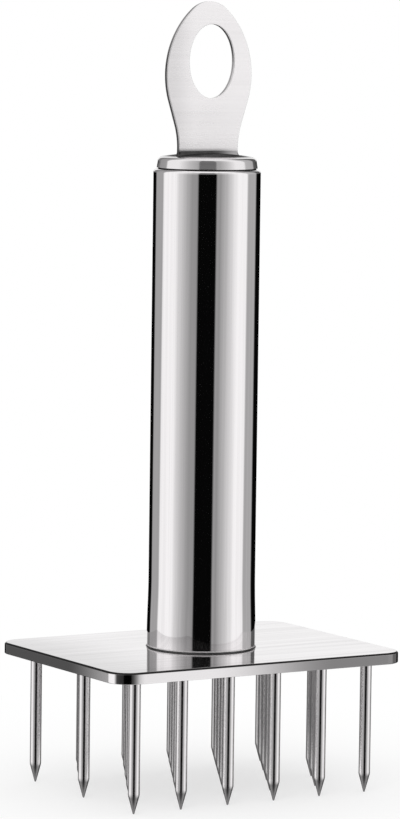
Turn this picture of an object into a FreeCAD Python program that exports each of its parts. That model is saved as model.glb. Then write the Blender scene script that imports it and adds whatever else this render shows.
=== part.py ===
import FreeCAD, Part
import math
import os

# Needle meat tenderizer: a stainless plate that carries a bed of needles, with a tube handle.
# Millimetres. +Z is up, X runs along the long side of the plate.
# The origin is under the middle of the plate, at the height of the needle points.

# Base plate
PLATE_LENGTH = 87.0
PLATE_WIDTH = 65.0
PLATE_THICKNESS = 3.0
PLATE_CORNER_RADIUS = 6.0
PLATE_TOP_CHAMFER = 0.45
PLATE_BOTTOM_CHAMFER = 0.25

# Needles
NEEDLE_DIAMETER = 3.0
NEEDLE_REACH = 34.5
NEEDLE_POINT_LENGTH = 4.8
NEEDLE_POINT_FLAT = 0.3
NEEDLE_SOCKET_DEPTH = 1.8
NEEDLE_PITCH_X = 14.0
NEEDLE_PITCH_Y = 13.0
NEEDLES_PER_ROW = (6, 5, 6, 5, 6)
ROOT_WELD_SPREAD = 0.55
ROOT_WELD_HEIGHT = 0.6

# Handle tube
TUBE_DIAMETER = 28.0
TUBE_WALL = 1.5
TUBE_LENGTH = 125.5
TUBE_TOP_ROUNDING = 0.95
TUBE_FOOT_CHAMFER = 0.35
TUBE_SWAGE = 0.4
TUBE_SWAGE_START = 5.0
TUBE_SWAGE_END = 8.0
FOOT_WELD_SPREAD = 0.35

# End cap
CAP_DIAMETER = 26.3
CAP_SEAT_DIAMETER = 25.6
CAP_GROOVE = 0.3
CAP_LOWER_CHAMFER = 0.25
CAP_RIM_HEIGHT = 3.2
CAP_RIM_ROUNDING = 1.2
CAP_DOME_HEIGHT = 4.1
CAP_SPIGOT_DEPTH = 8.0
CAP_SPIGOT_CHAMFER = 0.5
CAP_POCKET_DIAMETER = 21.0
CAP_ROOF = 2.2

# Hanging tab
TAB_THICKNESS = 1.3
TAB_TOP_HEIGHT = 43.5
TAB_HEAD_WIDTH = 25.7
TAB_HEAD_HEIGHT = 24.5
TAB_TOP_RADIUS = 7.5
TAB_TAPER_ANGLE = 17.5
TAB_NECK_WIDTH = 17.9
TAB_NECK_RADIUS = 20.0
TAB_TONGUE_WIDTH = 14.0
TAB_TONGUE_END = 1.0
TAB_EDGE_CHAMFER = 0.2
EYE_WIDTH = 13.4
EYE_HEIGHT = 19.2
EYE_CENTRE_HEIGHT = 28.0
EYE_OFFSET = 0.7
TAB_WELD_SPREAD = 0.9
TAB_WELD_BASE = 2.6
TAB_WELD_TOP = 5.0
TAB_WELD_LIP = 0.05

# How finely round shapes are cut: the needles repeat often, so they have the fewest sides
NEEDLE_SIDES = 12
ROUNDING_BANDS = 4
SWAGE_BANDS = 3
DOME_BANDS = 2

# Heights that follow from the sizes above
PLATE_BOTTOM = NEEDLE_REACH
PLATE_TOP = PLATE_BOTTOM + PLATE_THICKNESS
TUBE_TOP = PLATE_TOP + TUBE_LENGTH
TUBE_RADIUS = TUBE_DIAMETER / 2
BORE_RADIUS = TUBE_RADIUS - TUBE_WALL
NEEDLE_RADIUS = NEEDLE_DIAMETER / 2


def revolve(outline):
    """Turn a closed outline of (radius, height) points and edges about the Z axis."""
    face = Part.Face(Part.Wire(outline))
    return face.revolve(FreeCAD.Vector(0, 0, 0), FreeCAD.Vector(0, 0, 1), 360)


def at(radius, height):
    """A point of a turned outline."""
    return FreeCAD.Vector(radius, 0, height)


def line(start, end):
    return Part.LineSegment(start, end).toShape()


def arc(start, middle, end):
    return Part.Arc(start, middle, end).toShape()


def bands(centre_radius, centre_height, radius, start, end, count):
    """Points of a turned rounding, cut into narrow conical bands. Angles are in degrees."""
    points = []
    for step in range(count + 1):
        turn = math.radians(start + (end - start) * step / count)
        points.append(at(centre_radius + radius * math.cos(turn), centre_height + radius * math.sin(turn)))
    return points


def polyline(points):
    return [line(a, b) for a, b in zip(points, points[1:])]


def closed_polyline(points):
    return polyline(points + points[:1])


def turned(point, side):
    """A point of an outline, turned about the Z axis to one corner of a needle's section."""
    angle = 2 * math.pi * (side + 0.5) / NEEDLE_SIDES
    return FreeCAD.Vector(point.x * math.cos(angle), point.x * math.sin(angle), point.z)


def revolve_in_flats(outline):
    """Turn a closed outline about the Z axis in a few flat sides."""
    faces = []
    for side in range(NEEDLE_SIDES):
        for low, high in zip(outline, outline[1:] + outline[:1]):
            if low.x == high.x == 0:
                continue
            corners = [turned(low, side)]
            if low.x > 0:
                corners.append(turned(low, side + 1))
            corners.append(turned(high, side + 1))
            if high.x > 0:
                corners.append(turned(high, side))
            faces.append(Part.Face(Part.Wire(closed_polyline(corners))))
    shell = Part.Shell(faces)
    shell.sewShape()
    solid = Part.Solid(shell).removeSplitter()
    if solid.Volume < 0:
        solid.reverse()
    return solid


def needle_places():
    """Yield the name and the X, Y place of every needle, row by row from the front."""
    row_count = len(NEEDLES_PER_ROW)
    for row, count in enumerate(NEEDLES_PER_ROW):
        y = (row - (row_count - 1) / 2) * NEEDLE_PITCH_Y
        for column in range(count):
            x = (column - (count - 1) / 2) * NEEDLE_PITCH_X
            yield f"needle_r{row + 1}_c{column + 1}", x, y


def edges_at_height(shape, height):
    """The edges that lie flat at one height."""
    found = []
    for edge in shape.Edges:
        box = edge.BoundBox
        if abs(box.ZMin - height) < 1e-6 and abs(box.ZMax - height) < 1e-6:
            found.append(edge)
    return found


def upright_edges(shape):
    return [edge for edge in shape.Edges if edge.BoundBox.ZLength > edge.Length * 0.99]


def base_plate():
    """A sheet with round corners and eased edges, and a blind socket for each needle below."""
    corner = FreeCAD.Vector(-PLATE_LENGTH / 2, -PLATE_WIDTH / 2, PLATE_BOTTOM)
    plate = Part.makeBox(PLATE_LENGTH, PLATE_WIDTH, PLATE_THICKNESS, corner)
    plate = plate.makeFillet(PLATE_CORNER_RADIUS, upright_edges(plate))
    plate = plate.makeChamfer(PLATE_TOP_CHAMFER, edges_at_height(plate, PLATE_TOP))
    plate = plate.makeChamfer(PLATE_BOTTOM_CHAMFER, edges_at_height(plate, PLATE_BOTTOM))
    shank = needle()
    seated = [shank.translated(FreeCAD.Vector(x, y, 0)) for _, x, y in needle_places()]
    return plate.cut(Part.makeCompound(seated))


def needle():
    """One ground needle: a short flat at the tip, the point and the shank, up into its socket."""
    return revolve_in_flats([
        at(0, 0),
        at(NEEDLE_POINT_FLAT / 2, 0),
        at(NEEDLE_RADIUS, NEEDLE_POINT_LENGTH),
        at(NEEDLE_RADIUS, NEEDLE_REACH + NEEDLE_SOCKET_DEPTH),
        at(0, NEEDLE_REACH + NEEDLE_SOCKET_DEPTH),
    ])


def root_weld():
    """A weld collar that spreads from a needle on to the underside of the plate."""
    return revolve_in_flats([
        at(NEEDLE_RADIUS, PLATE_BOTTOM),
        at(NEEDLE_RADIUS, PLATE_BOTTOM - ROOT_WELD_HEIGHT),
        at(NEEDLE_RADIUS + ROOT_WELD_SPREAD, PLATE_BOTTOM),
    ])


def swage():
    """Points of the gentle step, from the wide foot of the tube up to its straight part."""
    points = []
    for step in range(SWAGE_BANDS + 1):
        part = step / SWAGE_BANDS
        height = TUBE_SWAGE_START + (TUBE_SWAGE_END - TUBE_SWAGE_START) * part
        spread = TUBE_SWAGE * (1 + math.cos(math.pi * part)) / 2
        points.append(at(TUBE_RADIUS + spread, PLATE_TOP + height))
    return points


def handle_tube():
    """A straight tube: rounded rim, a slight swage near the foot and a chamfered seat."""
    foot = TUBE_RADIUS + TUBE_SWAGE
    rim_centre = TUBE_RADIUS - TUBE_TOP_ROUNDING
    outline = [
        at(BORE_RADIUS, TUBE_TOP),
        at(BORE_RADIUS, PLATE_TOP),
        at(foot - TUBE_FOOT_CHAMFER, PLATE_TOP),
        at(foot, PLATE_TOP + TUBE_FOOT_CHAMFER),
    ]
    outline += swage()
    outline += bands(rim_centre, TUBE_TOP - TUBE_TOP_ROUNDING, TUBE_TOP_ROUNDING, 0, 90, ROUNDING_BANDS)
    return revolve(closed_polyline(outline))


def tube_foot_weld():
    """The thin weld that fills the chamfer at the foot of the tube."""
    inner = TUBE_RADIUS + TUBE_SWAGE - TUBE_FOOT_CHAMFER
    outline = closed_polyline([
        at(inner, PLATE_TOP),
        at(inner + TUBE_FOOT_CHAMFER, PLATE_TOP + TUBE_FOOT_CHAMFER),
        at(inner + TUBE_FOOT_CHAMFER + FOOT_WELD_SPREAD, PLATE_TOP),
    ])
    return revolve(outline)


def cap_body():
    """A turned plug: domed top with a rounded rim, a shadow groove, and a hollow spigot."""
    head = CAP_DIAMETER / 2
    seat = CAP_SEAT_DIAMETER / 2
    pocket = CAP_POCKET_DIAMETER / 2
    crown = TUBE_TOP + CAP_DOME_HEIGHT
    rim = head - CAP_RIM_ROUNDING
    rim_height = TUBE_TOP + CAP_RIM_HEIGHT - CAP_RIM_ROUNDING
    rise = CAP_DOME_HEIGHT - CAP_RIM_HEIGHT
    sphere = (rim ** 2 + rise ** 2) / (2 * rise)
    tilt = math.degrees(math.asin(rim / sphere))
    roof = crown - CAP_ROOF
    spigot_end = TUBE_TOP - CAP_SPIGOT_DEPTH
    outline = bands(0, crown - sphere, sphere, 90, 90 - tilt, DOME_BANDS)
    outline += bands(rim, rim_height, CAP_RIM_ROUNDING, 90, 0, ROUNDING_BANDS)[1:]
    outline += [
        at(head, TUBE_TOP + CAP_GROOVE + CAP_LOWER_CHAMFER),
        at(head - CAP_LOWER_CHAMFER, TUBE_TOP + CAP_GROOVE),
        at(seat, TUBE_TOP + CAP_GROOVE),
        at(seat, TUBE_TOP),
        at(BORE_RADIUS, TUBE_TOP),
        at(BORE_RADIUS, spigot_end + CAP_SPIGOT_CHAMFER),
        at(BORE_RADIUS - CAP_SPIGOT_CHAMFER, spigot_end),
        at(pocket, spigot_end),
        at(pocket, roof),
        at(0, roof),
    ]
    return revolve(closed_polyline(outline))


def tab_tongue():
    """The narrow end of the tab, which passes into a slot in the cap."""
    low = TUBE_TOP + TAB_TONGUE_END
    height = CAP_DOME_HEIGHT - TAB_TONGUE_END
    corner = FreeCAD.Vector(-TAB_TONGUE_WIDTH / 2, -TAB_THICKNESS / 2, low)
    return Part.makeBox(TAB_TONGUE_WIDTH, TAB_THICKNESS, height, corner)


def tab_profile():
    """The outline of the tab: a round top, long side arcs, a straight taper and a flared neck."""
    angle = math.radians(TAB_TAPER_ANGLE)
    half_head = TAB_HEAD_WIDTH / 2
    half_neck = TAB_NECK_WIDTH / 2
    top_centre = TAB_TOP_HEIGHT - TAB_TOP_RADIUS
    lift = top_centre - TAB_HEAD_HEIGHT
    side_radius = (half_head ** 2 + lift ** 2 - TAB_TOP_RADIUS ** 2) / (2 * (half_head - TAB_TOP_RADIUS))
    side_x = half_head - side_radius
    spread = math.atan2(lift, -side_x)

    def on_side(turn):
        """A point of the right side arc, turned up from its widest place."""
        return side_x + side_radius * math.cos(turn), TAB_HEAD_HEIGHT + side_radius * math.sin(turn)

    taper_x, taper_z = on_side(-angle)
    neck_x = half_neck + TAB_NECK_RADIUS * (1 - math.cos(angle))
    neck_z = taper_z - (taper_x - neck_x) / math.tan(angle)
    root_z = neck_z - TAB_NECK_RADIUS * math.sin(angle)
    bend_x = half_neck + TAB_NECK_RADIUS * (1 - math.cos(angle / 2))
    bend_z = root_z + TAB_NECK_RADIUS * math.sin(angle / 2)

    def place(x, z, side):
        return FreeCAD.Vector(side * x, 0, TUBE_TOP + z)

    edges = []
    for side in (1, -1):
        root = place(half_neck, CAP_RIM_HEIGHT, side)
        neck = place(half_neck, root_z, side)
        bend = place(neck_x, neck_z, side)
        taper = place(taper_x, taper_z, side)
        shoulder = place(*on_side(spread), side)
        edges += [
            line(root, neck),
            arc(neck, place(bend_x, bend_z, side), bend),
            line(bend, taper),
            arc(taper, place(*on_side((spread - angle) / 2), side), shoulder),
        ]
    right = place(*on_side(spread), 1)
    left = place(*on_side(spread), -1)
    edges.append(arc(right, place(0, TAB_TOP_HEIGHT, 1), left))
    edges.append(line(place(half_neck, CAP_RIM_HEIGHT, 1), place(half_neck, CAP_RIM_HEIGHT, -1)))
    return Part.Wire(Part.__sortEdges__(edges))


def eye_profile():
    """The oval eye of the tab."""
    centre = FreeCAD.Vector(EYE_OFFSET, 0, TUBE_TOP + EYE_CENTRE_HEIGHT)
    top = centre + FreeCAD.Vector(0, 0, EYE_HEIGHT / 2)
    side = centre + FreeCAD.Vector(EYE_WIDTH / 2, 0, 0)
    return Part.Wire([Part.Ellipse(top, side, centre).toShape()])


def sheet(wire):
    """A flat piece of tab sheet with this outline, centred on the plane of the handle axis."""
    blank = Part.Face(wire).extrude(FreeCAD.Vector(0, TAB_THICKNESS, 0))
    blank.translate(FreeCAD.Vector(0, -TAB_THICKNESS / 2, 0))
    return blank


def face_edges(shape):
    """The long edges round the two flat sides of the tab, above the cap."""
    found = []
    for edge in shape.Edges:
        box = edge.BoundBox
        if box.YLength < 1e-6 and box.ZMax > TUBE_TOP + CAP_DOME_HEIGHT + 1:
            found.append(edge)
    return found


def hanging_tab():
    """A stamped tab: egg-shaped head with an oval eye, eased edges and a tongue into the cap."""
    blank = sheet(tab_profile()).cut(sheet(eye_profile()))
    blank = blank.makeChamfer(TAB_EDGE_CHAMFER, face_edges(blank))
    return blank.cut(cap_body()).fuse(tab_tongue()).removeSplitter()


def tab_section(spread, height):
    """The section of the neck at a height, widened all round by a spread."""
    half_x = TAB_NECK_WIDTH / 2 + spread
    half_y = TAB_THICKNESS / 2 + spread
    corners = [(-half_x, -half_y), (half_x, -half_y), (half_x, half_y), (-half_x, half_y)]
    points = [FreeCAD.Vector(x, y, TUBE_TOP + height) for x, y in corners]
    return Part.Wire(closed_polyline(points))


def tab_foot_weld():
    """The weld bead that spreads from the foot of the tab on to the dome of the cap."""
    middle = (TAB_WELD_BASE + TAB_WELD_TOP) / 2
    sections = [
        tab_section(TAB_WELD_SPREAD, TAB_WELD_BASE),
        tab_section(TAB_WELD_SPREAD * 0.4, middle),
        tab_section(TAB_WELD_LIP, TAB_WELD_TOP),
    ]
    bead = Part.makeLoft(sections, True, True)
    return bead.cut(cap_body()).cut(hanging_tab())


def write(name, shape):
    shape.exportStep(os.path.join("parts", name + ".step"))
    print(name, "solids", len(shape.Solids), "valid", shape.isValid(), "volume", round(shape.Volume, 2))


os.makedirs("parts", exist_ok=True)
write("base_plate", base_plate())
one_needle = needle()
one_weld = root_weld()
welds = []
for name, x, y in needle_places():
    place = FreeCAD.Vector(x, y, 0)
    write(name, one_needle.translated(place))
    welds.append(one_weld.translated(place))
write("needle_root_welds", Part.makeCompound(welds))
write("handle_tube", handle_tube())
write("tube_foot_weld", tube_foot_weld())
write("handle_end_cap", cap_body().cut(tab_tongue()))
write("hanging_tab", hanging_tab())
write("tab_foot_weld", tab_foot_weld())
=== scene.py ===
import math

import bpy
from mathutils import Matrix, Vector


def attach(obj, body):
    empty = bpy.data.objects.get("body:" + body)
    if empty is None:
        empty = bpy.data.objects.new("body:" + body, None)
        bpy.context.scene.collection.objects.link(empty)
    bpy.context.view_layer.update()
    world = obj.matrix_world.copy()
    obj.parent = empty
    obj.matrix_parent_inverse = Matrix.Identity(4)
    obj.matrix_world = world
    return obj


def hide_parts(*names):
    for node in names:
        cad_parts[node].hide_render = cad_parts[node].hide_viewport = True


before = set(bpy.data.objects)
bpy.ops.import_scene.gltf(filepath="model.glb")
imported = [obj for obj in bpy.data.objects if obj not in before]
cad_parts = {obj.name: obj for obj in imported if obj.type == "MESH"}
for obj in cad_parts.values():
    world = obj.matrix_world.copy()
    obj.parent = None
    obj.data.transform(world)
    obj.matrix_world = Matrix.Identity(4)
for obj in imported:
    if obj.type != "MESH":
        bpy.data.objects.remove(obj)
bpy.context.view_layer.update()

# Needle meat tenderizer: the finished look of the plate, its needles and the polished handle.
# Sizes are in millimetres, as in the part's source, and become metres when a shape is made.
# The camera stands in front and to the left. X runs along the plate, +Z is up.

MM = 0.001
QUARTER_TURN = math.pi / 2
FULL_TURN = 2 * math.pi

# Plate
PLATE_LENGTH = 87.0
PLATE_WIDTH = 65.0
PLATE_BOTTOM = 34.5
PLATE_TOP = 37.5
PLATE_CORNER_RADIUS = 6.0
PLATE_TOP_EDGE = 0.45
PLATE_BOTTOM_EDGE = 0.25
PLATE_EASE = 0.09
CHAMFER_FOOT = PLATE_TOP - PLATE_TOP_EDGE

# Needles
NEEDLE_RADIUS = 1.5
NEEDLE_TOP = 36.3
NEEDLE_POINT_LENGTH = 4.8
NEEDLE_POINT_FLAT = 0.12
NEEDLE_TIP_SPREAD = 0.09
NEEDLE_TIP_HEIGHT = 0.1
NEEDLE_SHOULDER = 0.7
NEEDLE_SHOULDER_DROP = 0.12
NEEDLE_PITCH_X = 14.0
NEEDLE_PITCH_Y = 13.0
NEEDLES_PER_ROW = (6, 5, 6, 5, 6)
ROOT_WELD_SPREAD = 0.55
ROOT_WELD_HEIGHT = 0.6

# Handle tube
TUBE_TOP = 163.0
TUBE_RADIUS = 14.0
BORE_RADIUS = 12.5
TUBE_RIM = 0.95
TUBE_SWAGE = 0.3
TUBE_SWAGE_START = 40.0
TUBE_SWAGE_END = 56.0
TUBE_FOOT_CHAMFER = 0.35
FOOT_WELD_SPREAD = 0.22

# End cap
CAP_RADIUS = 13.15
CAP_SEAT_RADIUS = 12.8
CAP_GROOVE = 0.3
CAP_LOWER_EDGE = 0.08
CAP_RIM_HEIGHT = 3.2
CAP_RIM_ROUNDING = 1.2
CAP_SIDE_TAPER = 0.26
CAP_DOME_HEIGHT = 4.1
CAP_SPIGOT_DEPTH = 8.0
CAP_POCKET_RADIUS = 10.5
CAP_ROOF = 2.2

# Hanging tab
TAB_THICKNESS = 1.3
TAB_TOP_HEIGHT = 43.5
TAB_HALF_HEAD = 12.85
TAB_HEAD_HEIGHT = 24.5
TAB_TOP_RADIUS = 7.5
TAB_TAPER = math.radians(17.5)
TAB_HALF_NECK = 8.95
TAB_NECK_RADIUS = 20.0
TAB_FOOT_HEIGHT = 3.2
TAB_EDGE = 0.25
EYE_HALF_WIDTH = 6.7
EYE_HALF_HEIGHT = 9.6
EYE_HEIGHT = 28.0
EYE_OFFSET = 0.7
TAB_WELD_SPREAD = 0.9
TAB_WELD_BASE = 3.2
TAB_WELD_TOP = 4.7
TAB_WELD_LIP = 0.05

# How finely shapes are cut, when two points count as one, and where shading stays sharp
TUBE_STEPS = 128
NEEDLE_STEPS = 32
WELD_STEPS = 24
ROUND_STEPS = 8
SWAGE_STEPS = 16
CORNER_STEPS = 16
CHAMFER_STEPS = 1
EASE_STEPS = 2
EDGE_STEPS = 4
SHOULDER_STEPS = 5
WELD_ARC_STEPS = 5
TAB_STEPS = 32
EYE_STEPS = 96
SUPPORT_RING = 0.12
MERGE_DISTANCE = 0.002
NEAR_DISTANCE = 0.01
TURNED_SHARP_ANGLE = 35
BEAD_SHARP_ANGLE = 50
SHEET_SHARP_ANGLE = 60

# Steel, for all finishes. Levels are display levels from 0 to 255.
STEEL_TINT = (1.0, 0.976, 0.985)
NO_TINT = (1.0, 1.0, 1.0)
NOISE_DETAIL = 3
FINE_DETAIL = 4
BROAD_DETAIL = 2
NOISE_ROUGHNESS = 0.5
STREAK_ROUGHNESS = 0.6
FINE_DEPTH = 0.0012
STREAK_CONTRAST = (0.3, 0.75)
BROAD_CONTRAST = (0.35, 0.8)
# The flat dark shader that paints shade on the cap
PAINTED_SHADE_LEVEL = 46
PAINTED_SHADE_ROUGHNESS = 0.9

# Tube finish. Counts are waves per metre along X, Y and Z, or in every direction.
TUBE_LEVELS = (248, 238)
TUBE_LINE_COUNTS = (1400, 1400, 7)
TUBE_LINE_CONTRAST = (0.35, 0.7)
TUBE_HAZE_COUNT = 90
TUBE_ROUGHNESS = 0.03
TUBE_HAZE_ROUGHNESS = 0.05
FOOT_LINE_ROUGHNESS = 0.5
FOOT_LINE_ABOVE_PLATE = (0.6, 0.8)

# Cap finish
CAP_LEVELS = (240, 222)
CAP_RING_COUNTS = (2600, 1, 2600)
CAP_HAZE_COUNT = 160
CAP_ROUGHNESS = 0.07
CAP_RING_ROUGHNESS = 0.06
CAP_SHADE_ROUGHNESS = 0.2
# Painted shade on the cap: in the groove, and on the dome round the foot of the tab
GROOVE_ENDS = (-0.02, 0.04)
TAB_SHADE_RADIUS = (9.2, 12.6)
TAB_SHADE_ABOVE_TUBE = (2.2, 3.0)
TAB_SHADE_LEAST = 0.8
TAB_SHADE_IN_HAZE = 0.3

# Plate finish
TOP_LEVELS = (250, 184)
FRONT_REFLECTION_LEVELS = (252, 140)
LEFT_REFLECTION_LEVELS = (250, 116)
CORNER_SHADE_LEVEL = 84
CHAMFER_SHADE_LEVEL = 44
BRUSHING_COUNTS = (22, 2300, 2300)
BROAD_COUNTS = (7, 190, 190)
PLATE_HAZE_COUNT = 40
BRUSHING_SHARE = 0.4
BROAD_SHARE = 0.3
LEFT_SHARE = 0.5
BRUSHING_DEPTH = 0.0014
PLATE_ROUGHNESS = 0.04
BRUSHING_ROUGHNESS = 0.05
PLATE_HAZE_ROUGHNESS = 0.04
SIDE_ROUGHNESS = 0.05
CHAMFER_ROUGHNESS = 0.2
CHAMFER_FROM_FOOT = (-0.06, 0.02)
CHAMFER_FROM_TOP = (-0.07, -0.01)
SIDE_FROM_BOTTOM = (0.02, 0.12)
SIDE_FROM_FOOT = (-0.1, 0.0)
LEFT_SIDE_FROM_END = (0.2, PLATE_CORNER_RADIUS)
TOP_BRIGHTENS = (-PLATE_LENGTH / 2, -14)
FRONT_REFLECTION_DARKENS = (-18, 22)
LEFT_REFLECTION_DARKENS = (-31, -6)
CORNER_BEGINS = (-3.0, -1.6)
CORNER_ENDS = (3.0, 8.0)

# Needle finish. The first row and the left end stay bright and the needles behind them get painted
# shade, whose edges are in pitches.
SHANK_LEVELS = (246, 168)
GROUND_LEVELS = (158, 112)
DRAWN_COUNTS = (2500, 2500, 40)
GRINDING_COUNTS = (1, 1, 5200)
NEEDLE_PATCH_COUNT = 300
INNER_SHADE_SHARE = 0.7
DRAWN_SHARE = 0.3
NEEDLE_DEPTH = 0.0009
NEEDLE_ROUGHNESS = 0.13
DRAWN_ROUGHNESS = 0.05
POINT_ROUGHNESS = 0.04
GRINDING_ROUGHNESS = 0.08
FRONT_ROW_ENDS = (-1.75, -1.25)
LEFT_END_ENDS = (-2.35, -2.15)

# Weld finish
# The root weld's levels are tarnish and also painted shade under the plate
ROOT_WELD_LEVELS = (150, 104)
# Tarnish, and also painted shade in the gap at the tube's foot and at the tab's foot
SHADED_WELD_LEVELS = (96, 48)
# Where the painted shade of the bead and of the tab's foot fades, towards their right ends
UNSHADED_WELD_LEVEL = 200
SHADE_FADE_SHARE = 0.75
TARNISH_TINT = (1.0, 0.98, 0.95)
RIPPLE_COUNT = 1500
TARNISH_COUNT = 420
RIPPLE_DEPTH = 0.02
WELD_ROUGHNESS = 0.22
RIPPLE_ROUGHNESS = 0.2
SHADE_FADE_END = (2.0, 8.6)

# Tab finish. The left shade is in half widths of the head, the eye's numbers in its half sizes.
FACE_LEVELS = (254, 222)
WALL_SHADE_LEVELS = (70, 196)
TAB_FOOT_SHADOW_LEVEL = 58
RUBBING_COUNTS = (22, 22, 1900)
TAB_BROAD_COUNTS = (9, 9, 150)
TAB_HAZE_COUNT = 75
RUBBING_SHARE = 0.16
TAB_BROAD_SHARE = 0.22
CLOUD_LEAST = 0.5
TAB_LEFT_SHADE_SHARE = 0.65
HIGH_WALL_SHARE = 0.7
TAB_METALLIC = 0.6
TAB_ROUGHNESS = 0.2
RUBBING_ROUGHNESS = 0.08
TAB_HAZE_ROUGHNESS = 0.05
TAB_LEFT_ENDS = (-0.9, -0.3)
TAB_FOOT_SHADOW_ENDS = (4.2, 5.7)
WALL_LIGHTENS = (25.0, 40.0)
EYE_WALL_ENDS = (1.15, 1.25)
EYE_DARKENS = (-0.35, 0.45)

# Camera, from the photographed corners of the plate and the edges of the tube
CAMERA_PLACE = (-0.6013, -1.0003, 0.2130)
CAMERA_AIM = (0.51202, 0.85351, -0.09635)
CAMERA_ROLL = 0.0132
CAMERA_LENS = 196.82
CAMERA_SENSOR = 36.0
CAMERA_NEAR = 0.01
CAMERA_FAR = 100
TO_CAMERA = Vector((-0.5152, -0.8571, 0))
TO_RIGHT = Vector((0.8571, -0.5152, 0))

# What polished steel mirrors: (direction in degrees from the camera, negative is the left of the
# picture, and level), near the horizon and for the steeper ways
HORIZON_BANDS = (
    (-180, 6), (-141, 6), (-138, 165), (-109, 165), (-105, 252), (-70, 252), (-61, 222),
    (-51, 199), (-42, 177), (-32, 155), (-20, 148), (-17, 6), (20, 6), (23, 162), (26, 152),
    (30, 153), (39, 180), (49, 201), (59, 228), (69, 248), (75, 252), (96, 250), (101, 175),
    (129, 175), (134, 6), (180, 6),
)
UPPER_BANDS = (
    (-180, 250), (-164, 250), (-159, 128), (-143, 128), (-139, 156), (-109, 168), (-105, 252),
    (-70, 252), (-61, 236), (-42, 204), (-20, 178), (-17, 116), (20, 116), (23, 176), (30, 176),
    (49, 212), (69, 250), (75, 252), (96, 250), (101, 194), (131, 184), (135, 92), (159, 92),
    (164, 250), (180, 250),
)
LOW_WAY = (-0.88, -0.74)
HIGH_WAY = (0.09, 0.13)
TOP_WAY = (0.75, 0.95)
FRONT_LIFT = 0.10
SKY_LEVEL = 250
MIRRORED_GROUND_LEVEL = 240
WHITE_LEVEL = 255
WORLD_LIGHT = 0.9

# Floor and lamp. Places and sizes are in metres.
FLOOR_SIZE = 60
FLOOR_LEVEL = 250
FLOOR_FADE = (0.02, 0.15)
FLOOR_WHITE = 0.62
LAMP_PLACE = (-0.9, -0.9, 1.3)
LAMP_AIM = (0, 0, 0.08)
LAMP_SIZE = 1.0
LAMP_POWER = 5


# Modelling

def mm(*values):
    """A place or a size in metres, from millimetres."""
    return tuple(value * MM for value in values)


def deselect():
    bpy.ops.object.select_all(action="DESELECT")


def finish_piece(name, sharp_angle):
    """Name the active object, merge its doubles, turn its faces outwards and shade it."""
    piece = bpy.context.object
    piece.name = name
    piece.data.name = name
    bpy.ops.object.mode_set(mode="EDIT")
    bpy.ops.mesh.select_all(action="SELECT")
    bpy.ops.mesh.remove_doubles(threshold=MERGE_DISTANCE * MM)
    bpy.ops.mesh.normals_make_consistent(inside=False)
    bpy.ops.object.mode_set(mode="OBJECT")
    bpy.ops.object.transform_apply(location=True, rotation=True, scale=True)
    bpy.ops.object.shade_smooth_by_angle(angle=math.radians(sharp_angle))
    return piece


def even_normals(piece):
    """Let the large flat faces keep a flat shade beside their rounded edges."""
    modifier = piece.modifiers.new("even normals", "WEIGHTED_NORMAL")
    modifier.keep_sharp = True
    bpy.ops.object.modifier_apply(modifier=modifier.name)


def turned_piece(name, outline, steps):
    """Draw an outline of (radius, height) points as a string of edges and spin it about Z."""
    deselect()
    bpy.ops.mesh.primitive_plane_add(size=MM)
    bpy.ops.object.mode_set(mode="EDIT")
    bpy.ops.mesh.select_mode(type="VERT")
    bpy.ops.mesh.select_all(action="SELECT")
    bpy.ops.mesh.merge(type="CENTER")
    radius, height = outline[0]
    bpy.ops.transform.translate(value=mm(radius, 0, height))
    for (r1, z1), (r2, z2) in zip(outline, outline[1:] + outline[:1]):
        step = mm(r2 - r1, 0, z2 - z1)
        bpy.ops.mesh.extrude_region_move(TRANSFORM_OT_translate={"value": step})
    bpy.ops.mesh.select_all(action="SELECT")
    bpy.ops.mesh.spin(steps=steps, angle=FULL_TURN, center=(0, 0, 0), axis=(0, 0, 1))
    bpy.ops.object.mode_set(mode="OBJECT")
    return finish_piece(name, TURNED_SHARP_ANGLE)


def rounding(centre_radius, centre_height, radius, start, end, steps=ROUND_STEPS):
    """Points of an arc of an outline. Angles are in degrees, from the radius to the height."""
    points = []
    for step in range(steps + 1):
        angle = math.radians(start + (end - start) * step / steps)
        out = centre_radius + radius * math.cos(angle)
        points.append((out, centre_height + radius * math.sin(angle)))
    return points


def hollow_arc(radius, height, spread, rise):
    """Points of the hollow face of a weld, from its upright side to its thin outer edge."""
    points = []
    for step in range(1, WELD_ARC_STEPS + 1):
        angle = QUARTER_TURN * step / WELD_ARC_STEPS
        out = radius + spread * (1 - math.cos(angle))
        points.append((out, height + rise * math.sin(angle)))
    return points


def copy_to(piece, name, x, y):
    """A copy of a piece with its own mesh, moved across the plate."""
    deselect()
    piece.select_set(True)
    bpy.context.view_layer.objects.active = piece
    bpy.ops.object.duplicate(linked=False)
    bpy.ops.transform.translate(value=mm(x, y, 0))
    bpy.ops.object.transform_apply(location=True, rotation=False, scale=False)
    bpy.context.object.name = name
    bpy.context.object.data.name = name
    return bpy.context.object


def needle_places():
    """The node name and the X, Y place of every needle, row by row from the front."""
    places = []
    rows = len(NEEDLES_PER_ROW)
    for row, count in enumerate(NEEDLES_PER_ROW):
        y = (row - (rows - 1) / 2) * NEEDLE_PITCH_Y
        for column in range(count):
            x = (column - (count - 1) / 2) * NEEDLE_PITCH_X
            places.append((f"needle_r{row + 1}_c{column + 1}", x, y))
    return places


def select_edges(piece, wanted):
    """Select the edges of a mesh whose two ends the test accepts."""
    bpy.ops.object.mode_set(mode="EDIT")
    bpy.ops.mesh.select_mode(type="EDGE")
    bpy.ops.mesh.select_all(action="DESELECT")
    bpy.ops.object.mode_set(mode="OBJECT")
    points = piece.data.vertices
    for edge in piece.data.edges:
        first, second = (points[index].co for index in edge.vertices)
        edge.select = wanted(first, second)
    bpy.ops.object.mode_set(mode="EDIT")


def near(value, target):
    """Whether a number in metres is a size in millimetres."""
    return abs(value - target * MM) < NEAR_DISTANCE * MM


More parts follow.
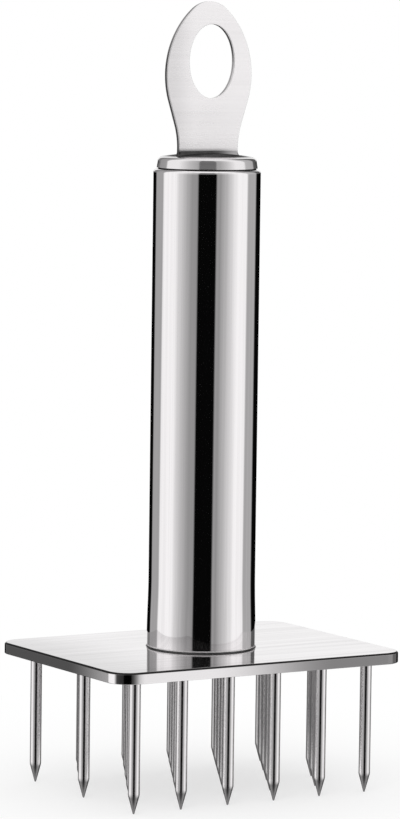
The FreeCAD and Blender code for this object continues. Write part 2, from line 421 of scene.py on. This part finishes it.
def make_plate():
    """The sheet: round corners, then an eased chamfer above and a finer rounding below."""
    deselect()
    middle = (PLATE_BOTTOM + PLATE_TOP) / 2
    bpy.ops.mesh.primitive_cube_add(size=1, location=mm(0, 0, middle))
    plate = bpy.context.object
    plate.scale = mm(PLATE_LENGTH, PLATE_WIDTH, PLATE_TOP - PLATE_BOTTOM)
    bpy.ops.object.transform_apply(location=True, rotation=False, scale=True)
    select_edges(plate, lambda a, b: not near(a.z - b.z, 0))
    bpy.ops.mesh.bevel(offset=PLATE_CORNER_RADIUS * MM, segments=CORNER_STEPS, affect="EDGES")
    bpy.ops.object.mode_set(mode="OBJECT")
    bevels = (
        (PLATE_TOP, PLATE_TOP_EDGE, CHAMFER_STEPS),
        (PLATE_TOP, PLATE_EASE, EASE_STEPS),
        (CHAMFER_FOOT, PLATE_EASE, EASE_STEPS),
        (PLATE_BOTTOM, PLATE_BOTTOM_EDGE, EDGE_STEPS),
    )
    for height, edge, steps in bevels:
        select_edges(plate, lambda a, b: near(a.z, height) and near(b.z, height))
        bpy.ops.mesh.bevel(offset=edge * MM, segments=steps, affect="EDGES")
        bpy.ops.object.mode_set(mode="OBJECT")
    finish_piece("sheet_plate", SHEET_SHARP_ANGLE)
    even_normals(plate)
    return plate


def make_needle():
    """One ground needle with its point, a soft shoulder and a tiny flat at the tip."""
    shoulder_foot = NEEDLE_POINT_LENGTH - NEEDLE_SHOULDER / 2
    outline = [
        (0, 0),
        (NEEDLE_POINT_FLAT, 0),
        (NEEDLE_POINT_FLAT + NEEDLE_TIP_SPREAD, NEEDLE_TIP_HEIGHT),
    ]
    for step in range(SHOULDER_STEPS + 1):
        part = step / SHOULDER_STEPS
        drop = NEEDLE_SHOULDER_DROP * (1 - part) ** 2
        outline.append((NEEDLE_RADIUS - drop, shoulder_foot + NEEDLE_SHOULDER * part))
    outline += [(NEEDLE_RADIUS, NEEDLE_TOP), (0, NEEDLE_TOP)]
    return turned_piece("ground_needle", outline, NEEDLE_STEPS)


def make_root_weld():
    """One weld collar, hollow in section, from a needle on to the plate."""
    foot = PLATE_BOTTOM - ROOT_WELD_HEIGHT
    outline = [(NEEDLE_RADIUS, PLATE_BOTTOM), (NEEDLE_RADIUS, foot)]
    outline += hollow_arc(NEEDLE_RADIUS, foot, ROOT_WELD_SPREAD, ROOT_WELD_HEIGHT)
    return turned_piece("root_weld", outline, WELD_STEPS)


def make_tube():
    """The handle tube: bore, chamfered foot, a gentle swage and a rounded rim."""
    foot = TUBE_RADIUS + TUBE_SWAGE
    outline = [
        (BORE_RADIUS, TUBE_TOP),
        (BORE_RADIUS, PLATE_TOP),
        (foot - TUBE_FOOT_CHAMFER, PLATE_TOP),
        (foot, PLATE_TOP + TUBE_FOOT_CHAMFER),
    ]
    for step in range(SWAGE_STEPS + 1):
        part = step / SWAGE_STEPS
        height = TUBE_SWAGE_START + (TUBE_SWAGE_END - TUBE_SWAGE_START) * part
        swell = TUBE_SWAGE * (1 + math.cos(math.pi * part)) / 2
        outline.append((TUBE_RADIUS + swell, height))
    outline.append((TUBE_RADIUS, TUBE_TOP - TUBE_RIM - SUPPORT_RING))
    outline += rounding(TUBE_RADIUS - TUBE_RIM, TUBE_TOP - TUBE_RIM, TUBE_RIM, 0, 90)
    return turned_piece("polished_handle_tube", outline, TUBE_STEPS)


def make_foot_weld():
    """The thin weld line round the foot of the tube, hollow in section."""
    foot = TUBE_RADIUS + TUBE_SWAGE
    top = PLATE_TOP + TUBE_FOOT_CHAMFER
    outline = [(foot - TUBE_FOOT_CHAMFER, PLATE_TOP), (foot, top)]
    outline += hollow_arc(foot, top, FOOT_WELD_SPREAD, -TUBE_FOOT_CHAMFER)
    return turned_piece("foot_weld_ring", outline, TUBE_STEPS)


def make_cap():
    """The end cap: a shallow dome, a rounded rim, a tapered side, a shadow groove, a spigot."""
    crown = TUBE_TOP + CAP_DOME_HEIGHT
    shoulder = CAP_RADIUS - CAP_SIDE_TAPER
    rim = shoulder - CAP_RIM_ROUNDING
    rim_height = TUBE_TOP + CAP_RIM_HEIGHT - CAP_RIM_ROUNDING
    rise = CAP_DOME_HEIGHT - CAP_RIM_HEIGHT
    sphere = (rim ** 2 + rise ** 2) / (2 * rise)
    tilt = math.degrees(math.asin(rim / sphere))
    spigot_end = TUBE_TOP - CAP_SPIGOT_DEPTH
    roof = crown - CAP_ROOF
    groove = TUBE_TOP + CAP_GROOVE
    side_foot = groove + CAP_LOWER_EDGE
    slope = CAP_SIDE_TAPER / (rim_height - side_foot)
    taper = math.degrees(math.atan(slope))
    outline = rounding(0, crown - sphere, sphere, 90, 90 - tilt)
    outline += rounding(rim, rim_height, CAP_RIM_ROUNDING, 90 - tilt, taper)[1:]
    outline += [
        (shoulder + SUPPORT_RING * slope, rim_height - SUPPORT_RING),
        (CAP_RADIUS - SUPPORT_RING * slope, side_foot + SUPPORT_RING),
    ]
    outline += rounding(CAP_RADIUS - CAP_LOWER_EDGE, side_foot, CAP_LOWER_EDGE, taper, -90)
    outline += [
        (CAP_SEAT_RADIUS, groove),
        (CAP_SEAT_RADIUS, TUBE_TOP),
        (BORE_RADIUS, TUBE_TOP),
        (BORE_RADIUS, spigot_end),
        (CAP_POCKET_RADIUS, spigot_end),
        (CAP_POCKET_RADIUS, roof),
        (0, roof),
    ]
    return turned_piece("domed_end_cap", outline, TUBE_STEPS)


def tab_outline():
    """The tab as points (x, height above the tube) on tangent arcs, from the right foot round."""
    lift = TAB_TOP_HEIGHT - TAB_TOP_RADIUS - TAB_HEAD_HEIGHT
    square = TAB_HALF_HEAD ** 2 + lift ** 2 - TAB_TOP_RADIUS ** 2
    side_radius = square / (2 * (TAB_HALF_HEAD - TAB_TOP_RADIUS))
    side_x = TAB_HALF_HEAD - side_radius
    spread = math.degrees(math.atan2(lift, -side_x))
    taper = math.degrees(TAB_TAPER)
    side = rounding(side_x, TAB_HEAD_HEIGHT, side_radius, -taper, spread, TAB_STEPS)
    low_x, low_z = side[0]
    neck_x = TAB_HALF_NECK + TAB_NECK_RADIUS * (1 - math.cos(TAB_TAPER))
    neck_z = low_z - (low_x - neck_x) / math.tan(TAB_TAPER)
    root_z = neck_z - TAB_NECK_RADIUS * math.sin(TAB_TAPER)
    neck = rounding(TAB_HALF_NECK + TAB_NECK_RADIUS, root_z, TAB_NECK_RADIUS, 180, 180 - taper)
    top_z = TAB_TOP_HEIGHT - TAB_TOP_RADIUS
    top = rounding(0, top_z, TAB_TOP_RADIUS, spread, 90, TAB_STEPS // 2)
    right = [(TAB_HALF_NECK, TAB_FOOT_HEIGHT)] + neck + side + top[1:]
    left = [(-x, z) for x, z in reversed(right[:-1])]
    return right + left


def make_tab():
    """The stamped tab: its outline and its eye as one flat curve, filled and softly edged."""
    deselect()
    bpy.ops.curve.primitive_nurbs_path_add()
    tab = bpy.context.object
    curve = tab.data
    curve.splines.clear()
    circle = rounding(0, 0, 1, 0, 360, EYE_STEPS)[:-1]
    eye = [
        (EYE_OFFSET + EYE_HALF_WIDTH * x, EYE_HEIGHT + EYE_HALF_HEIGHT * z) for x, z in circle
    ]
    for points in (tab_outline(), eye):
        spline = curve.splines.new("POLY")
        spline.points.add(len(points) - 1)
        spline.use_cyclic_u = True
        for point, (x, z) in zip(spline.points, points):
            point.co = (x * MM, z * MM, 0, 1)
    curve.dimensions = "2D"
    curve.fill_mode = "BOTH"
    curve.offset = -TAB_EDGE * MM
    curve.extrude = (TAB_THICKNESS / 2 - TAB_EDGE) * MM
    curve.bevel_depth = TAB_EDGE * MM
    curve.bevel_resolution = EDGE_STEPS
    bpy.ops.object.convert(target="MESH")
    bpy.ops.transform.rotate(value=-QUARTER_TURN, orient_axis="X", center_override=(0, 0, 0))
    bpy.ops.transform.translate(value=mm(0, 0, TUBE_TOP))
    bpy.ops.object.transform_apply(location=True, rotation=True, scale=True)
    finish_piece("egg_shaped_tab", SHEET_SHARP_ANGLE)
    even_normals(tab)
    return tab


def make_tab_weld():
    """The bead round the foot of the tab, drawn in by steps from the dome up to the neck."""
    deselect()
    bpy.ops.mesh.primitive_plane_add(size=1, location=mm(0, 0, TUBE_TOP + TAB_WELD_BASE))
    bead = bpy.context.object
    length = 2 * (TAB_HALF_NECK + TAB_WELD_SPREAD)
    bead.scale = (*mm(length, TAB_THICKNESS + 2 * TAB_WELD_SPREAD), 1)
    bpy.ops.object.transform_apply(location=True, rotation=False, scale=True)
    bpy.ops.object.mode_set(mode="EDIT")
    bpy.ops.mesh.select_mode(type="VERT")
    bpy.ops.mesh.select_all(action="SELECT")
    bpy.ops.mesh.bevel(offset=TAB_WELD_SPREAD * MM, segments=ROUND_STEPS, affect="VERTICES")
    bpy.ops.mesh.select_all(action="SELECT")
    height = TAB_WELD_TOP - TAB_WELD_BASE
    spread = TAB_WELD_SPREAD
    angle = 0
    for step in range(1, WELD_ARC_STEPS + 1):
        last_angle, angle = angle, QUARTER_TURN * step / WELD_ARC_STEPS
        rise = height * (math.cos(last_angle) - math.cos(angle))
        bpy.ops.mesh.extrude_region_move(TRANSFORM_OT_translate={"value": mm(0, 0, rise)})
        new_spread = TAB_WELD_SPREAD * (1 - math.sin(angle)) + TAB_WELD_LIP
        grow_x = (TAB_HALF_NECK + new_spread) / (TAB_HALF_NECK + spread)
        grow_y = (TAB_THICKNESS / 2 + new_spread) / (TAB_THICKNESS / 2 + spread)
        bpy.ops.transform.resize(value=(grow_x, grow_y, 1), center_override=(0, 0, 0))
        spread = new_spread
    bpy.ops.object.mode_set(mode="OBJECT")
    return finish_piece("tab_foot_bead", BEAD_SHARP_ANGLE)


# Finishes

class Value:
    """A number made by a node. Sums with it add Math nodes to its finish."""

    def __init__(self, finish, socket):
        self.finish = finish
        self.socket = socket

    def maths(self, operation, *values):
        settings = {"operation": operation}
        return self.finish.node("ShaderNodeMath", settings, dict(enumerate(values)))

    def __add__(self, other):
        return self.maths("ADD", self, other)

    def __radd__(self, other):
        return self.maths("ADD", other, self)

    def __sub__(self, other):
        return self.maths("SUBTRACT", self, other)

    def __rsub__(self, other):
        return self.maths("SUBTRACT", other, self)

    def __mul__(self, other):
        return self.maths("MULTIPLY", self, other)

    def __rmul__(self, other):
        return self.maths("MULTIPLY", other, self)

    def __truediv__(self, other):
        return self.maths("DIVIDE", self, other)

    def __pow__(self, other):
        return self.maths("POWER", self, other)

    def size(self):
        """The number without its sign."""
        return self.maths("ABSOLUTE", self)

    def at_least(self, other):
        """The greater of this number and another."""
        return self.maths("MAXIMUM", self, other)

    def ramp(self, low, high):
        """0 below low, 1 above high, smooth in between."""
        settings = {"interpolation_type": "SMOOTHSTEP"}
        ranges = {0: self, 1: low, 2: high, 3: 0.0, 4: 1.0}
        return self.finish.node("ShaderNodeMapRange", settings, ranges)

    def past(self, span, edge=0.0):
        """0 before a span and 1 after it. The span is in millimetres, counted from an edge."""
        low, high = span
        return self.ramp(*mm(edge + low, edge + high))


class Finish:
    """A material and the few ways in which its nodes are added."""

    def __init__(self, name, world=None):
        self.material = world or bpy.data.materials.new(name)
        self.material.use_nodes = True
        self.tree = self.material.node_tree
        self.tree.nodes.clear()
        kind = "ShaderNodeOutputWorld" if world else "ShaderNodeOutputMaterial"
        self.output = self.tree.nodes.new(kind)

    def node(self, kind, settings=None, values=None, output=0):
        """Add a node: its settings first, then the values or links of its sockets."""
        made = self.tree.nodes.new(kind)
        for key, setting in (settings or {}).items():
            if key == "stops":
                set_stops(made.color_ramp, setting)
            else:
                setattr(made, key, setting)
        for key, value in (values or {}).items():
            if isinstance(value, Value):
                self.tree.links.new(value.socket, made.inputs[key])
            else:
                made.inputs[key].default_value = value
        return Value(self, made.outputs[output])

    def place(self):
        """The place on the piece, in metres."""
        return self.node("ShaderNodeTexCoord", output="Object")

    def axes(self, kind="Object"):
        """The X, Y and Z of the place, or in a world of the way that a ray goes."""
        place = self.node("ShaderNodeTexCoord", output=kind)
        split = self.node("ShaderNodeSeparateXYZ", {}, {0: place})
        outputs = split.socket.node.outputs
        return [Value(self, outputs[axis]) for axis in range(3)]

    def vector(self, x, y, z):
        return self.node("ShaderNodeCombineXYZ", {}, {0: x, 1: y, 2: z})

    def noise(self, place, count, detail=NOISE_DETAIL, roughness=NOISE_ROUGHNESS):
        """A noise from 0 to 1. The count is its waves per metre."""
        values = {"Vector": place, "Scale": count, "Detail": detail, "Roughness": roughness}
        return self.node("ShaderNodeTexNoise", {}, values, "Fac")

    def streaks(self, place, counts, detail=NOISE_DETAIL):
        """A noise stretched along one axis. Counts are the waves per metre on each axis."""
        stretched = self.node("ShaderNodeMapping", {}, {"Vector": place, "Scale": counts})
        return self.noise(stretched, 1, detail, STREAK_ROUGHNESS)

    def blend(self, amount, first, second):
        """A colour between two colours."""
        values = {0: amount, 6: first, 7: second}
        return self.node("ShaderNodeMix", {"data_type": "RGBA"}, values, 2)

    def bump(self, height, depth):
        """A surface that rises with the height. The depth is in millimetres."""
        return self.node("ShaderNodeBump", {}, {"Height": height, "Distance": depth * MM})

    def shader(self, **values):
        """A Principled shader. Socket names have _ in place of spaces."""
        named = {key.replace("_", " "): value for key, value in values.items()}
        return self.node("ShaderNodeBsdfPrincipled", {}, named)

    def surface(self, **values):
        """Close the material with one Principled shader."""
        return self.show(self.shader(**values))

    def darkened(self, amount, steel, level):
        """Close the material with steel that turns into a flat dark painted shade where the amount
        is 1.
        """
        painted_shade_shader = self.shader(
            Base_Color=grey(level), Metallic=0.0, Roughness=PAINTED_SHADE_ROUGHNESS,
            Specular_IOR_Level=0.0,
        )
        return self.show(self.node("ShaderNodeMixShader", {}, {0: amount, 1: steel, 2: painted_shade_shader}))

    def show(self, shader):
        """Join a shader to the output and hand over the material."""
        self.tree.links.new(shader.socket, self.output.inputs["Surface"])
        return self.material


def set_stops(ramp, stops):
    """Give a colour ramp its stops of (place, colour)."""
    while len(ramp.elements) > 1:
        ramp.elements.remove(ramp.elements[-1])
    ramp.elements[0].position = stops[0][0]
    ramp.elements[0].color = stops[0][1]
    for place, colour in stops[1:]:
        ramp.elements.new(place).color = colour


def grey(level, tint=STEEL_TINT):
    """A colour from a display level, by the sRGB curve, with the faint warm tint of the steel."""
    part = level / 255
    linear = part / 12.92 if part <= 0.04045 else ((part + 0.055) / 1.055) ** 2.4
    return (linear * tint[0], linear * tint[1], linear * tint[2], 1.0)


def greys(levels):
    """The two colours of a pair of levels."""
    return grey(levels[0]), grey(levels[1])


def polished_tube_finish():
    """Mirror-bright steel with fine lengthwise lines, soft haze and a dull line at its foot."""
    finish = Finish("polished tube steel")
    place = finish.place()
    _, _, z = finish.axes()
    lines = finish.streaks(place, TUBE_LINE_COUNTS)
    haze = finish.noise(place, TUBE_HAZE_COUNT)
    foot_line = 1 - z.past(FOOT_LINE_ABOVE_PLATE, PLATE_TOP)
    hazy = TUBE_HAZE_ROUGHNESS * lines * haze
    return finish.surface(
        Base_Color=finish.blend(lines.ramp(*TUBE_LINE_CONTRAST), *greys(TUBE_LEVELS)),
        Metallic=1.0,
        Roughness=TUBE_ROUGHNESS + hazy + FOOT_LINE_ROUGHNESS * foot_line,
        Normal=finish.bump(lines, FINE_DEPTH),
    )


def polished_cap_finish():
    """Bright steel with fine turned rings, and painted shade in the groove and round the tab's
    foot.
    """
    finish = Finish("polished cap steel")
    x, y, z = finish.axes()
    radius = (x ** 2 + y ** 2) ** 0.5
    rings = finish.streaks(finish.vector(radius, 0.0, z), CAP_RING_COUNTS)
    haze = finish.noise(finish.place(), CAP_HAZE_COUNT)
    hazy_rings = rings * haze
    # Painted shade in the groove below the cap's side
    groove = 1 - z.past(GROOVE_ENDS, TUBE_TOP + CAP_GROOVE)
    # Painted shade on the dome round the tab's foot, patchy with the haze
    tab_foot_shade = (1 - radius.past(TAB_SHADE_RADIUS)) * z.past(TAB_SHADE_ABOVE_TUBE, TUBE_TOP)
    tint = tab_foot_shade * (TAB_SHADE_LEAST + TAB_SHADE_IN_HAZE * haze)
    steel = finish.shader(
        Base_Color=finish.blend(hazy_rings, *greys(CAP_LEVELS)),
        Metallic=1.0,
        Roughness=CAP_ROUGHNESS + CAP_RING_ROUGHNESS * hazy_rings + CAP_SHADE_ROUGHNESS * tint,
        Normal=finish.bump(rings, FINE_DEPTH),
    )
    return finish.darkened(tint.at_least(groove), steel, PAINTED_SHADE_LEVEL)


def brushed_plate_finish():
    """Plate steel: brushed along its length above, with bright sides and painted shade on the
    chamfer.

    The polished sides carry a painted reflection that darkens towards their far ends, and painted
    shade at the corner beside the camera.
    """
    finish = Finish("brushed plate steel")
    place = finish.place()
    x, y, z = finish.axes()
    brushing = finish.streaks(place, BRUSHING_COUNTS, FINE_DETAIL)
    broad = finish.streaks(place, BROAD_COUNTS, BROAD_DETAIL)
    haze = finish.noise(place, PLATE_HAZE_COUNT)
    # Painted shade on the chamfer along the top edges
    chamfer_begins = z.past(CHAMFER_FROM_FOOT, CHAMFER_FOOT)
    chamfer = chamfer_begins * (1 - z.past(CHAMFER_FROM_TOP, PLATE_TOP))
    side_begins = z.past(SIDE_FROM_BOTTOM, PLATE_BOTTOM)
    side = (1 - z.past(SIDE_FROM_FOOT, CHAMFER_FOOT)) * side_begins
    left_side = 1 - x.past(LEFT_SIDE_FROM_END, -PLATE_LENGTH / 2)

    brushed = BRUSHING_SHARE * brushing.ramp(*STREAK_CONTRAST)
    clouded = BROAD_SHARE * broad.ramp(*BROAD_CONTRAST)
    # Painted shade, darker towards the left end of the top
    top_left_shade = LEFT_SHARE * (1 - x.past(TOP_BRIGHTENS))
    top_tone = finish.blend(brushed + clouded + top_left_shade, *greys(TOP_LEVELS))
    # Painted reflection on the sides, darker towards their far ends
    front_reflection = finish.blend(x.past(FRONT_REFLECTION_DARKENS), *greys(FRONT_REFLECTION_LEVELS))
    left_reflection = finish.blend(y.past(LEFT_REFLECTION_DARKENS), *greys(LEFT_REFLECTION_LEVELS))
    # Painted shade at the corner beside the camera
    along_corner = x - y + (PLATE_LENGTH - PLATE_WIDTH) / 2 * MM
    shaded_corner = along_corner.past(CORNER_BEGINS) * (1 - along_corner.past(CORNER_ENDS))
    straight_tone = finish.blend(left_side, front_reflection, left_reflection)
    side_tone = finish.blend(shaded_corner, straight_tone, grey(CORNER_SHADE_LEVEL))
    tone = finish.blend(side, top_tone, side_tone)

    rough = PLATE_ROUGHNESS + BRUSHING_ROUGHNESS * brushing + PLATE_HAZE_ROUGHNESS * haze
    return finish.surface(
        Base_Color=finish.blend(chamfer, tone, grey(CHAMFER_SHADE_LEVEL)),
        Metallic=1.0,
        Roughness=rough + SIDE_ROUGHNESS * side + CHAMFER_ROUGHNESS * chamfer,
        Normal=finish.bump(brushing, BRUSHING_DEPTH),
    )


def needle_finish():
    """Bright drawn wire with painted shade on the needles behind the first row and inside the left
    end, and a darker, finely ringed point.
    """
    finish = Finish("needle steel")
    place = finish.place()
    x, y, z = finish.axes()
    drawn = finish.streaks(place, DRAWN_COUNTS)
    rings = finish.streaks(finish.vector(0.0, 0.0, z), GRINDING_COUNTS)
    patchy = drawn * finish.noise(place, NEEDLE_PATCH_COUNT)
    point = 1 - z.past((-NEEDLE_SHOULDER, NEEDLE_SHOULDER), NEEDLE_POINT_LENGTH)
    # Painted shade on the needles behind the first row and inside the left end
    behind_front_row = (y / (NEEDLE_PITCH_Y * MM)).ramp(*FRONT_ROW_ENDS)
    inside_left_end = (x / (NEEDLE_PITCH_X * MM)).ramp(*LEFT_END_ENDS)
    painted_shade_inner = behind_front_row * inside_left_end
    shank = finish.blend(INNER_SHADE_SHARE * painted_shade_inner + DRAWN_SHARE * patchy, *greys(SHANK_LEVELS))
    ground = finish.blend(rings, *greys(GROUND_LEVELS))
    ground_roughness = point * (POINT_ROUGHNESS + GRINDING_ROUGHNESS * rings)
    return finish.surface(
        Base_Color=finish.blend(point, shank, ground),
        Metallic=1.0,
        Roughness=NEEDLE_ROUGHNESS + DRAWN_ROUGHNESS * patchy + ground_roughness,
        Normal=finish.bump(drawn * (1 - point) + rings * point, NEEDLE_DEPTH),
    )


def weld_finish(name, levels, shade_fade_share=0.0):
    """Weld metal, rippled and tarnished in patches, with painted shade in its levels that fades by
    a share at its right end.
    """
    finish = Finish(name)
    place = finish.place()
    x, _, _ = finish.axes()
    ripple = finish.noise(place, RIPPLE_COUNT)
    tarnish = finish.noise(place, TARNISH_COUNT, FINE_DETAIL)
    light, dark = levels
    tone = finish.blend(tarnish, grey(light), grey(dark, TARNISH_TINT))
    return finish.surface(
        # The painted shade fades by a share towards the right end
        Base_Color=finish.blend(shade_fade_share * x.past(SHADE_FADE_END), tone, grey(UNSHADED_WELD_LEVEL)),
        Metallic=1.0,
        Roughness=WELD_ROUGHNESS + RIPPLE_ROUGHNESS * ripple,
        Normal=finish.bump(ripple, RIPPLE_DEPTH),
    )


def satin_tab_finish():
    """Satin sheet, rubbed across its width, with faint patches, painted shade on its cut walls and
    left side, and a painted shadow at its foot.
    """
    finish = Finish("satin tab steel")
    place = finish.place()
    x, y, z = finish.axes()
    rubbing = finish.streaks(place, RUBBING_COUNTS, FINE_DETAIL)
    broad = finish.streaks(place, TAB_BROAD_COUNTS, BROAD_DETAIL)
    haze = finish.noise(place, TAB_HAZE_COUNT)

    # Painted shade on the cut walls, lighter low in the eye and high on the outer walls
    wall = 1 - y.size().past((-TAB_EDGE, -TAB_EDGE / 3), TAB_THICKNESS / 2)
    eye_x = (x - EYE_OFFSET * MM) / (EYE_HALF_WIDTH * MM)
    eye_z = (z - (TUBE_TOP + EYE_HEIGHT) * MM) / (EYE_HALF_HEIGHT * MM)
    in_eye = 1 - (eye_x ** 2 + eye_z ** 2).ramp(*EYE_WALL_ENDS)
    low_in_eye = in_eye * (1 - eye_z.ramp(*EYE_DARKENS))
    high_outside = (1 - in_eye) * z.past(WALL_LIGHTENS, TUBE_TOP)
    lit_wall_part = low_in_eye.at_least(HIGH_WALL_SHARE * high_outside)
    painted_wall_shade = finish.blend(lit_wall_part, *greys(WALL_SHADE_LEVELS))

    rubbed = RUBBING_SHARE * rubbing.ramp(*STREAK_CONTRAST)
    clouded = TAB_BROAD_SHARE * broad.ramp(*BROAD_CONTRAST) * (CLOUD_LEAST + haze)
    # Painted shade on the left side of the face
    left = 1 - (x / (TAB_HALF_HEAD * MM)).ramp(*TAB_LEFT_ENDS)
    face_tone = finish.blend(rubbed + clouded + TAB_LEFT_SHADE_SHARE * left, *greys(FACE_LEVELS))
    # Painted shadow at the tab's foot, fading towards its right end
    shadow_fades = SHADE_FADE_SHARE * x.past(SHADE_FADE_END)
    painted_foot_shadow = (1 - z.past(TAB_FOOT_SHADOW_ENDS, TUBE_TOP)) * (1 - shadow_fades)
    tone = finish.blend(wall, face_tone, painted_wall_shade)
    return finish.surface(
        Base_Color=finish.blend(painted_foot_shadow, tone, grey(TAB_FOOT_SHADOW_LEVEL)),
        Metallic=TAB_METALLIC,
        Roughness=TAB_ROUGHNESS + RUBBING_ROUGHNESS * rubbing + TAB_HAZE_ROUGHNESS * haze,
        Normal=finish.bump(rubbing, FINE_DEPTH),
    )


# The studio

def floor_finish():
    """A plain white floor: it keeps the shadow of the object and is pure white further out."""
    finish = Finish("white floor")
    camera = finish.node("ShaderNodeLightPath", output="Is Camera Ray")
    x, y, _ = finish.axes()
    away = ((x ** 2 + y ** 2) ** 0.5).ramp(*FLOOR_FADE)
    matt = finish.node("ShaderNodeBsdfDiffuse", {}, {"Color": grey(FLOOR_LEVEL, NO_TINT)})
    glow = {"Color": grey(WHITE_LEVEL, NO_TINT), "Strength": 1.0}
    white = finish.node("ShaderNodeEmission", {}, glow)
    seen_white = camera * (FLOOR_WHITE + (1 - FLOOR_WHITE) * away)
    return finish.show(
        finish.node("ShaderNodeMixShader", {}, {0: seen_white, 1: matt, 2: white})
    )


def make_floor():
    """The floor, which mirrors in the steel don't see."""
    deselect()
    bpy.ops.mesh.primitive_plane_add(size=FLOOR_SIZE)
    floor = bpy.context.object
    floor.name = "floor"
    floor.visible_glossy = False
    floor.data.materials.append(floor_finish())


def band_stops(bands):
    """The stops of a colour ramp that runs once round, with the camera's way in its middle."""
    return [((way + 180) / 360, grey(level, NO_TINT)) for way, level in bands]


def make_world():
    """White light all round, white for the camera, and dark and light walls for mirrors."""
    world = bpy.data.worlds.new("studio")
    bpy.context.scene.world = world
    finish = Finish("", world)
    glossy = finish.node("ShaderNodeLightPath", output="Is Glossy Ray")
    camera = finish.node("ShaderNodeLightPath", output="Is Camera Ray")
    through = finish.node("ShaderNodeLightPath", output="Is Transmission Ray")
    x, y, z = finish.axes("Generated")
    towards = x * TO_CAMERA.x + y * TO_CAMERA.y
    right = x * TO_RIGHT.x + y * TO_RIGHT.y
    around = right.maths("ARCTAN2", right, towards) / FULL_TURN + 0.5
    walls, upper_walls = (
        finish.node("ShaderNodeValToRGB", {"stops": band_stops(bands)}, {0: around})
        for bands in (HORIZON_BANDS, UPPER_BANDS)
    )
    below = finish.blend(z.ramp(*LOW_WAY), grey(MIRRORED_GROUND_LEVEL, NO_TINT), walls)
    above = finish.blend(z.ramp(*TOP_WAY), upper_walls, grey(SKY_LEVEL, NO_TINT))
    mirrored = finish.blend((z - FRONT_LIFT * towards).ramp(*HIGH_WAY), below, above)
    colour = finish.blend(glossy, grey(WHITE_LEVEL, NO_TINT), mirrored)
    seen = camera.at_least(glossy).at_least(through)
    strength = WORLD_LIGHT + seen * (1 - WORLD_LIGHT)
    light = {"Color": colour, "Strength": strength}
    finish.show(finish.node("ShaderNodeBackground", {}, light))


def make_lamp():
    """One large soft lamp above and to the left of the object."""
    deselect()
    bpy.ops.object.light_add(type="AREA", location=LAMP_PLACE)
    lamp = bpy.context.object
    lamp.name = "soft_lamp"
    lamp.data.size = LAMP_SIZE
    lamp.data.energy = LAMP_POWER
    lamp.visible_glossy = False
    aim = Vector(LAMP_AIM) - Vector(LAMP_PLACE)
    lamp.rotation_euler = aim.to_track_quat("-Z", "Y").to_euler()


def make_camera():
    """The camera of the photograph, with its slight roll."""
    forward = Vector(CAMERA_AIM).normalized()
    level_right = forward.cross(Vector((0, 0, 1))).normalized()
    level_up = level_right.cross(forward)
    right = level_right * math.cos(CAMERA_ROLL) + level_up * math.sin(CAMERA_ROLL)
    up = level_up * math.cos(CAMERA_ROLL) - level_right * math.sin(CAMERA_ROLL)
    deselect()
    bpy.ops.object.camera_add(location=CAMERA_PLACE)
    camera = bpy.context.object
    camera.name = "camera"
    camera.rotation_euler = Matrix((right, up, -forward)).transposed().to_euler()
    camera.data.lens = CAMERA_LENS
    camera.data.sensor_width = CAMERA_SENSOR
    camera.data.sensor_fit = "AUTO"
    camera.data.clip_start = CAMERA_NEAR
    camera.data.clip_end = CAMERA_FAR
    bpy.context.scene.camera = camera


def put(piece, material, slot, *nodes):
    """Give a piece its finish, and let it stand for its solids."""
    piece.data.materials.clear()
    piece.data.materials.append(material)
    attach(piece, "root")
    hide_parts(*nodes)


def join(pieces, name):
    """Make one piece of several that share a finish."""
    deselect()
    for piece in pieces:
        piece.select_set(True)
    bpy.context.view_layer.objects.active = pieces[0]
    bpy.ops.object.join()
    bpy.context.object.name = name
    return bpy.context.object


put(make_plate(), brushed_plate_finish(), "brushed_sheet", "base_plate")

needle_steel = needle_finish()
weld_steel = weld_finish("weld steel", ROOT_WELD_LEVELS)
shaded_weld = weld_finish("shaded weld steel", SHADED_WELD_LEVELS)
bead_steel = weld_finish("tab bead steel", SHADED_WELD_LEVELS, SHADE_FADE_SHARE)
first_needle = make_needle()
first_weld = make_root_weld()
welds = []
for node, x, y in needle_places():
    put(copy_to(first_needle, "ground_" + node, x, y), needle_steel, "needle_steel", node)
    welds.append(copy_to(first_weld, "weld_" + node, x, y))
bpy.data.objects.remove(first_needle)
bpy.data.objects.remove(first_weld)
put(join(welds, "root_weld_collars"), weld_steel, "weld_metal", "needle_root_welds")

put(make_tube(), polished_tube_finish(), "polished_tube", "handle_tube")
put(make_foot_weld(), shaded_weld, "weld_metal", "tube_foot_weld")
put(make_cap(), polished_cap_finish(), "polished_cap", "handle_end_cap")
put(make_tab(), satin_tab_finish(), "satin_sheet", "hanging_tab")
put(make_tab_weld(), bead_steel, "weld_metal", "tab_foot_weld")

make_floor()
make_world()
make_lamp()
make_camera()
bpy.context.scene.view_settings.view_transform = "Standard"
